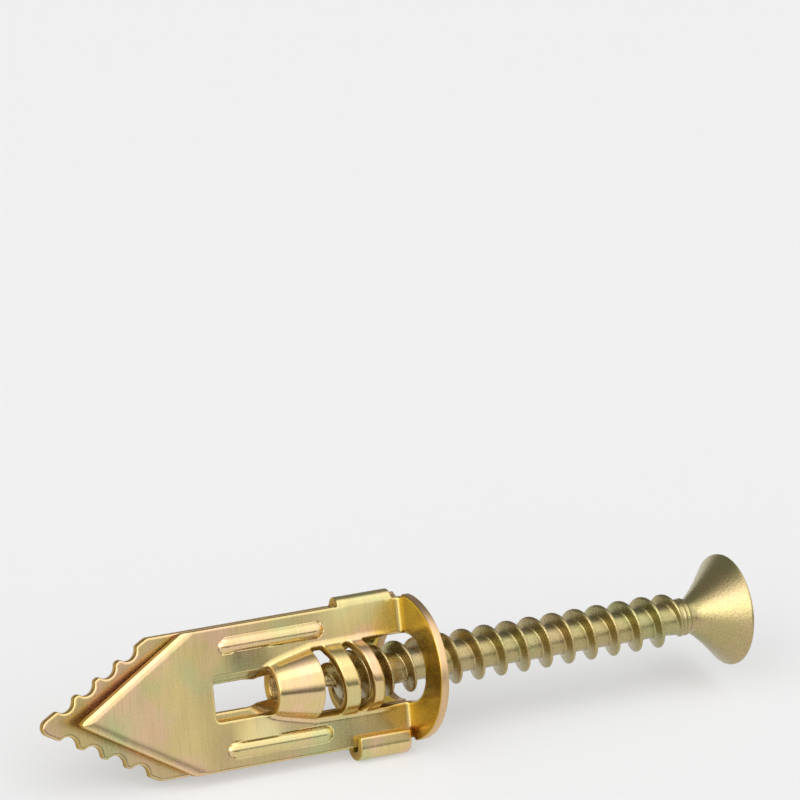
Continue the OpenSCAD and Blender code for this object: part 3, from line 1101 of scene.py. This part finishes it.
    def skin(self, points: np.ndarray, rim: int, triangles: np.ndarray, loops: list[Loop],
             outs: list[np.ndarray]) -> bpy.types.Object:
        """Gives the triangulated blank its two faces and its cut edges, folds it, and joins triangles.

        Args:
            points: The blank's points, those of the edges first.
            rim: How many of them lie on the edges.
            triangles: The face's triangles.
            loops: The outline and the openings, at their full size.
            outs: The direction out of the material at each of their points.

        Returns:
            The new object.
        """
        count = len(points)
        top = self.thick(*points.T)
        bottom = np.full(count, -self.thickness / 2)
        edge, out = np.vstack(loops), np.vstack(outs)
        r, sheared = self.edge_r, [np.zeros(count), np.zeros(count)]
        flat, heights = [points, points], [top, bottom]
        lean = 1 - math.sqrt(0.5)
        turned, flank = 0.3, 1.0
        levels = ((lean, top[:rim] - r * lean, turned), (0.0, top[:rim] - r, flank),
                  (0.0, bottom[:rim] + r, flank), (lean, bottom[:rim] + r * lean, turned))
        for inset, high, cut in levels:
            flat.append(edge - r * inset * out)
            heights.append(high)
            sheared.append(np.full(rim, cut))
        flat, heights = np.vstack(flat), np.concatenate(heights)
        placed = self.fold(flat[:, 0], flat[:, 1], heights)
        faces = [tuple(t) for t in triangles] + [tuple(t[::-1] + count) for t in triangles]
        rings = [0] + [2 * count + k * rim for k in range(4)] + [count]
        first = 0
        for loop in loops:
            for k in range(len(loop)):
                here, nxt = first + k, first + (k + 1) % len(loop)
                faces += [(upper + here, lower + here, lower + nxt, upper + nxt)
                          for upper, lower in zip(rings, rings[1:])]
            first += len(loop)
        mesh = bpy.data.meshes.new("folded_sheet")
        mesh.from_pydata(placed.tolist(), [], faces)
        mesh.transform(self.lying())
        mesh.validate()
        self.note(mesh, "sheared", np.concatenate(sheared))
        self.note(mesh, "flange", np.clip((flat[:, 1] + self.flange_tint[0]) / self.flange_tint[1], 0, 1))
        cells = bmesh.new()
        cells.from_mesh(mesh)
        bmesh.ops.join_triangles(cells, faces=cells.faces, angle_face_threshold=math.radians(25),
                                 angle_shape_threshold=math.radians(20))
        cells.to_mesh(mesh)
        cells.free()
        mesh.shade_smooth()
        return link("folded_sheet", mesh)

    @staticmethod
    def note(mesh: bpy.types.Mesh, name: str, values: np.ndarray) -> None:
        """Stores one number for each vertex of mesh, for its finish to read."""
        mesh.attributes.new(name, "FLOAT", "POINT").data.foreach_set("value", values.astype(np.float32))


@dataclass(frozen=True)
class DriveScrew:
    """The coarse drive screw, in mm in the anchor's own frame.

    A flat grid is wrapped round the axis, and one rule gives each of its points a distance from the axis:
    the tapered point, the core, the thread that climbs round it and runs out, the neck and the flared head.

    Attributes:
        reach: Reach of the point beyond the flange.
        length: Length from the point to the face.
        core_r: Radius of the core.
        thread_r: Radius over the thread.
        pitch: Advance of the thread in one turn.
        foot_w: Width of the thread at its foot.
        crest_w: Width of the thread at its crest.
        start_w: Width of the thread where it starts, as a share of its full width.
        point_len: Length of the tapered point.
        crest_pos: Distance from the flange to one crest, on the side of the bridge.
        runout: Length over which the thread runs out.
        thread_end: Distance from the flange to where it has run out.
        neck_r: Radius of the neck.
        flare_h: Height of the head's flared underside.
        flare_power: Hollowness of the flare.
        head_r: Radius of the head.
        rim_h: Thickness of the head's rim.
        crown_h: Height of the crown of the head's face.
        recess: Width of the cross recess at the face, width at its floor, thickness of a wing, and depth.
        wing_taper: A wing's thickness at the recess's floor, and how much it gains up to the face, in shares.
        floor_step: How much less deep the second wing is, as a share of the depth.
        die_rings: Where the thread-rolling dies left a ring round the neck.
        ring_h: Height of those rings.
        ring_w: Width of one side of a ring.
        ring_tilt: How far a ring leans out of square.
        dents: How far the rolled crest wanders.
        dent_scale: How often it wanders, for each mm.
        dent_level: The noise that leaves the crest at its full height.
        row: Spacing of the grid along the axis.
        face_run: Length of the grid that covers the head's face.
        same: Points nearer than this are joined.
        sharp: The angle in degrees from which an edge shows as sharp.
        sides: Points in one turn.
    """

    reach: float = 8.5
    length: float = 36.75
    core_r: float = 1.2
    thread_r: float = 2.0
    pitch: float = 1.95
    foot_w: float = 0.7
    crest_w: float = 0.14
    start_w: float = 0.4
    point_len: float = 4.8
    crest_pos: float = 5.47
    runout: float = 1.4
    thread_end: float = 24.2
    neck_r: float = 1.325
    flare_h: float = 3.2
    flare_power: float = 1.2
    head_r: float = 4.175
    rim_h: float = 0.12
    crown_h: float = 0.1
    recess: tuple[float, float, float, float] = (4.4, 2.2, 0.95, 2.1)
    wing_taper: tuple[float, float] = (0.85, 0.3)
    floor_step: float = 0.02
    die_rings: tuple[float, ...] = (24.0, 24.35)
    ring_h: float = 0.09
    ring_w: float = 0.09
    ring_tilt: float = 0.06
    dents: float = 0.05
    dent_scale: float = 0.9
    dent_level: float = 0.75
    row: float = 0.05
    face_run: float = 1.5
    same: float = 0.001
    sharp: float = 50.0
    sides: int = 64

    def rule(self) -> bpy.types.NodeTree:
        """Builds the node group that wraps the grid.

        Returns:
            The new node group.
        """
        tree = bpy.data.node_groups.new("threaded screw", "GeometryNodeTree")
        g = Graph(tree)
        group = g.sockets({
            "Reach": self.reach, "Length": self.length, "Core radius": self.core_r,
            "Thread radius": self.thread_r, "Pitch": self.pitch, "Foot width": self.foot_w,
            "Crest width": self.crest_w, "Point length": self.point_len,
            "Crest position": self.crest_pos, "Run-out": self.runout, "Thread end": self.thread_end,
            "Neck radius": self.neck_r, "Flare height": self.flare_h, "Head radius": self.head_r,
            "Rim height": self.rim_h, "Crown height": self.crown_h, "Dents": self.dents,
        })
        rim_top = g.math("SUBTRACT", group["Length"], group["Reach"])
        rim_top = g.math("SUBTRACT", rim_top, group["Crown height"])
        flare_top = g.math("SUBTRACT", rim_top, group["Rim height"])
        flare_bottom = g.math("SUBTRACT", flare_top, group["Flare height"])
        run = g.math("ADD", g.math("ADD", rim_top, group["Reach"]), self.face_run)
        rows = round((self.length - self.crown_h + self.face_run) / self.row)
        grid = g.add("GeometryNodeMeshGrid", inputs={"Size X": run, "Size Y": 1.0, "Vertices X": rows + 1,
                                                     "Vertices Y": self.sides + 1})
        place = g.add("ShaderNodeSeparateXYZ", inputs={0: g.add("GeometryNodeInputPosition").outputs[0]})
        start = g.math("MULTIPLY_ADD", run, 0.5, place.outputs[0])
        past = g.math("SUBTRACT", start, group["Reach"])
        z = g.math("MINIMUM", past, rim_top)
        inward = g.math("DIVIDE", g.math("MAXIMUM", g.math("SUBTRACT", past, rim_top), 0.0), self.face_run)
        radius = self.stem(g, group, z, place.outputs[1])
        rise = g.math("DIVIDE", g.math("SUBTRACT", z, flare_bottom), group["Flare height"], clamp=True)
        spread = g.math("POWER", rise, self.flare_power)
        flare = g.times(g.math("SUBTRACT", group["Head radius"], group["Neck radius"]), spread)
        radius = g.times(g.math("ADD", radius, flare), g.rest(inward))
        crown = g.rest(g.math("POWER", g.rest(inward), 3.0))
        z = g.math("MULTIPLY_ADD", crown, group["Crown height"], z)
        turn = g.times(place.outputs[1], 2 * math.pi)
        wrapped = g.add("ShaderNodeCombineXYZ", inputs={
            0: g.times(radius, g.math("COSINE", turn)), 1: g.times(radius, g.math("SINE", turn)), 2: z})
        moved = g.add("GeometryNodeSetPosition", inputs={
            "Geometry": grid.outputs[0], "Position": wrapped.outputs[0]})
        closed = g.add("GeometryNodeMergeByDistance", inputs={0: moved.outputs[0], "Distance": self.same})
        flipped = g.add("GeometryNodeFlipFaces", inputs={0: closed.outputs[0]})
        face = self.length - self.reach
        cut = g.add("GeometryNodeMeshBoolean", operation="DIFFERENCE", solver="EXACT",
                    inputs={"Mesh 1": flipped.outputs[0]})
        for quarter in (0, 1):
            g.feed(cut.inputs["Mesh 2"], self.wing(g, face, quarter))
        self.dress(g, cut.outputs[0])
        return tree

    def stem(self, g: Graph, group: dict, z: object, turns: object) -> object:
        """Adds the rule for the point, the core, the thread and the neck.

        Args:
            g: The graph that the nodes go in.
            group: The group's own inputs by name.
            z: The output that gives the place along the axis.
            turns: The output that gives the place round the axis, in turns.

        Returns:
            The output that gives the distance from the axis.
        """
        tapered = g.math("DIVIDE", g.math("ADD", z, group["Reach"]), group["Point length"], clamp=True)
        left = g.math("DIVIDE", g.math("SUBTRACT", group["Thread end"], z), group["Run-out"], clamp=True)
        full = g.math("MINIMUM", tapered, left)
        core = g.times(group["Core radius"], tapered)
        neck = g.math("SUBTRACT", group["Neck radius"], group["Core radius"])
        core = g.math("MULTIPLY_ADD", neck, g.rest(left), core)
        lead = g.math("DIVIDE", g.math("SUBTRACT", z, group["Crest position"]), group["Pitch"])
        bridge_side = 0.25
        lead = g.math("SUBTRACT", g.math("SUBTRACT", lead, turns), bridge_side)
        off = g.math("ABSOLUTE", g.math("SUBTRACT", lead, g.math("ROUND", lead)))
        off = g.times(off, group["Pitch"])
        widen = g.math("MULTIPLY_ADD", full, 1 - self.start_w, self.start_w)
        crest = g.times(group["Crest width"], 0.5, widen)
        foot = g.times(group["Foot width"], 0.5, widen)
        side = g.math("DIVIDE", g.math("SUBTRACT", off, crest), g.math("SUBTRACT", foot, crest), clamp=True)
        soft = g.times(side, side, g.math("MULTIPLY_ADD", side, -2.0, 3.0))
        side = g.times(g.math("ADD", side, soft), 0.5)
        angle = g.times(turns, 2 * math.pi)
        cosine, sine = g.math("COSINE", angle), g.math("SINE", angle)
        wander = g.add("ShaderNodeTexNoise", inputs={
            "Vector": g.add("ShaderNodeCombineXYZ", inputs={0: z, 1: cosine, 2: sine}).outputs[0],
            "Scale": self.dent_scale, "Detail": 1.0}).outputs[0]
        dent = g.times(g.math("SUBTRACT", wander, self.dent_level), group["Dents"])
        high = g.math("SUBTRACT", g.math("ADD", group["Thread radius"], dent), core)
        high = g.times(high, full, g.rest(side))
        for ring in self.die_rings:
            middle = g.math("MULTIPLY_ADD", sine, self.ring_tilt, ring)
            near = g.math("DIVIDE", g.math("SUBTRACT", z, middle), self.ring_w)
            mark = g.math("EXPONENT", g.times(near, near, -1.0))
            core = g.math("MULTIPLY_ADD", mark, self.ring_h, core)
        return g.math("ADD", core, high)

    def wing(self, g: Graph, face: float, quarter: int) -> object:
        """Adds one wing of the cutter for the cross recess.

        Args:
            g: The graph that the nodes go in.
            face: Distance from the flange to the head's face.
            quarter: 1 turns it a quarter turn.

        Returns:
            The wing's output.
        """
        wide, floor, thick, depth = self.recess
        depth *= 1 - self.floor_step * quarter
        base, gain = (share * thick for share in self.wing_taper)
        block = g.add("GeometryNodeMeshCube", inputs={"Size": (1, 1, 1), "Vertices X": 2, "Vertices Y": 2,
                                                      "Vertices Z": 2})
        place = g.add("ShaderNodeSeparateXYZ", inputs={0: g.add("GeometryNodeInputPosition").outputs[0]})
        top = g.math("ADD", place.outputs[2], 0.5)
        spread = 2 * wide - floor
        x = g.times(place.outputs[0], g.math("MULTIPLY_ADD", top, spread - floor, floor))
        y = g.times(place.outputs[1], g.math("MULTIPLY_ADD", top, gain, base))
        z = g.math("MULTIPLY_ADD", top, 2 * depth, face - depth)
        sides = (x, y) if quarter == 0 else (y, x)
        moved = g.add("ShaderNodeCombineXYZ", inputs={0: sides[0], 1: sides[1], 2: z})
        wing = g.add("GeometryNodeSetPosition", inputs={
            "Geometry": block.outputs[0], "Position": moved.outputs[0]})
        if quarter:
            wing = g.add("GeometryNodeFlipFaces", inputs={0: wing.outputs[0]})
        return wing.outputs[0]

    def dress(self, g: Graph, mesh: object) -> None:
        """Adds the last nodes: smooth shading with sharp corners, and the finish.

        Args:
            g: The graph that the nodes go in.
            mesh: The output that gives the screw.
        """
        smooth = g.add("GeometryNodeSetShadeSmooth", inputs={0: mesh})
        angle = g.add("GeometryNodeInputMeshEdgeAngle").outputs[0]
        sharp = g.add("FunctionNodeCompare", data_type="FLOAT", operation="GREATER_THAN",
                      inputs={0: angle, 1: math.radians(self.sharp)})
        creased = g.add("GeometryNodeSetShadeSmooth", domain="EDGE", inputs={
            0: smooth.outputs[0], "Selection": sharp.outputs[0], "Shade Smooth": False})
        real = g.add("GeometryNodeRealizeInstances", inputs={0: creased.outputs[0]})
        done = g.add("GeometryNodeSetMaterial", inputs={"Geometry": real.outputs[0],
                                                        "Material": SCREW_PLATING.material()})
        out = g.add("NodeGroupOutput")
        g.feed(out.inputs[0], done.outputs[0])

    def build(self, turned: Matrix) -> bpy.types.Object:
        """Makes the screw's mesh.

        Args:
            turned: From the anchor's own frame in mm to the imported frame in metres.

        Returns:
            The new object.
        """
        shell = link("screw_rule", bpy.data.meshes.new("screw_rule"))
        modifier = shell.modifiers.new("threaded screw", "NODES")
        modifier.node_group = self.rule()
        for item in modifier.node_group.interface.items_tree:
            if item.in_out == "INPUT":
                modifier[item.identifier] = item.default_value
        depsgraph = bpy.context.evaluated_depsgraph_get()
        mesh = bpy.data.meshes.new_from_object(shell.evaluated_get(depsgraph))
        bpy.data.objects.remove(shell)
        mesh.name = "drive_screw_thread"
        mesh.transform(turned)
        return link("coarse_screw", mesh)


def main() -> None:
    """Builds the scene."""
    logging.basicConfig(level=logging.INFO, format="%(name)s: %(message)s")
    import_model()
    Studio(Vector((0.9, 0, 5.703)) * MM).build()
    plan = AnchorSheet()
    sheet, screw = plan.build(), DriveScrew().build(plan.lying())
    sheet.data.materials.append(SHEET_PLATING.material())
    for piece, body, node, slot in ((sheet, "anchor", "anchor_sheet", "plated_sheet"),
                                    (screw, "screw", "drive_screw", "plated_screw")):
        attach(piece, body)
        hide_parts(node)
        LOG.info("%s: %d faces", piece.name, len(piece.data.polygons))


if __name__ == "__main__":
    main()
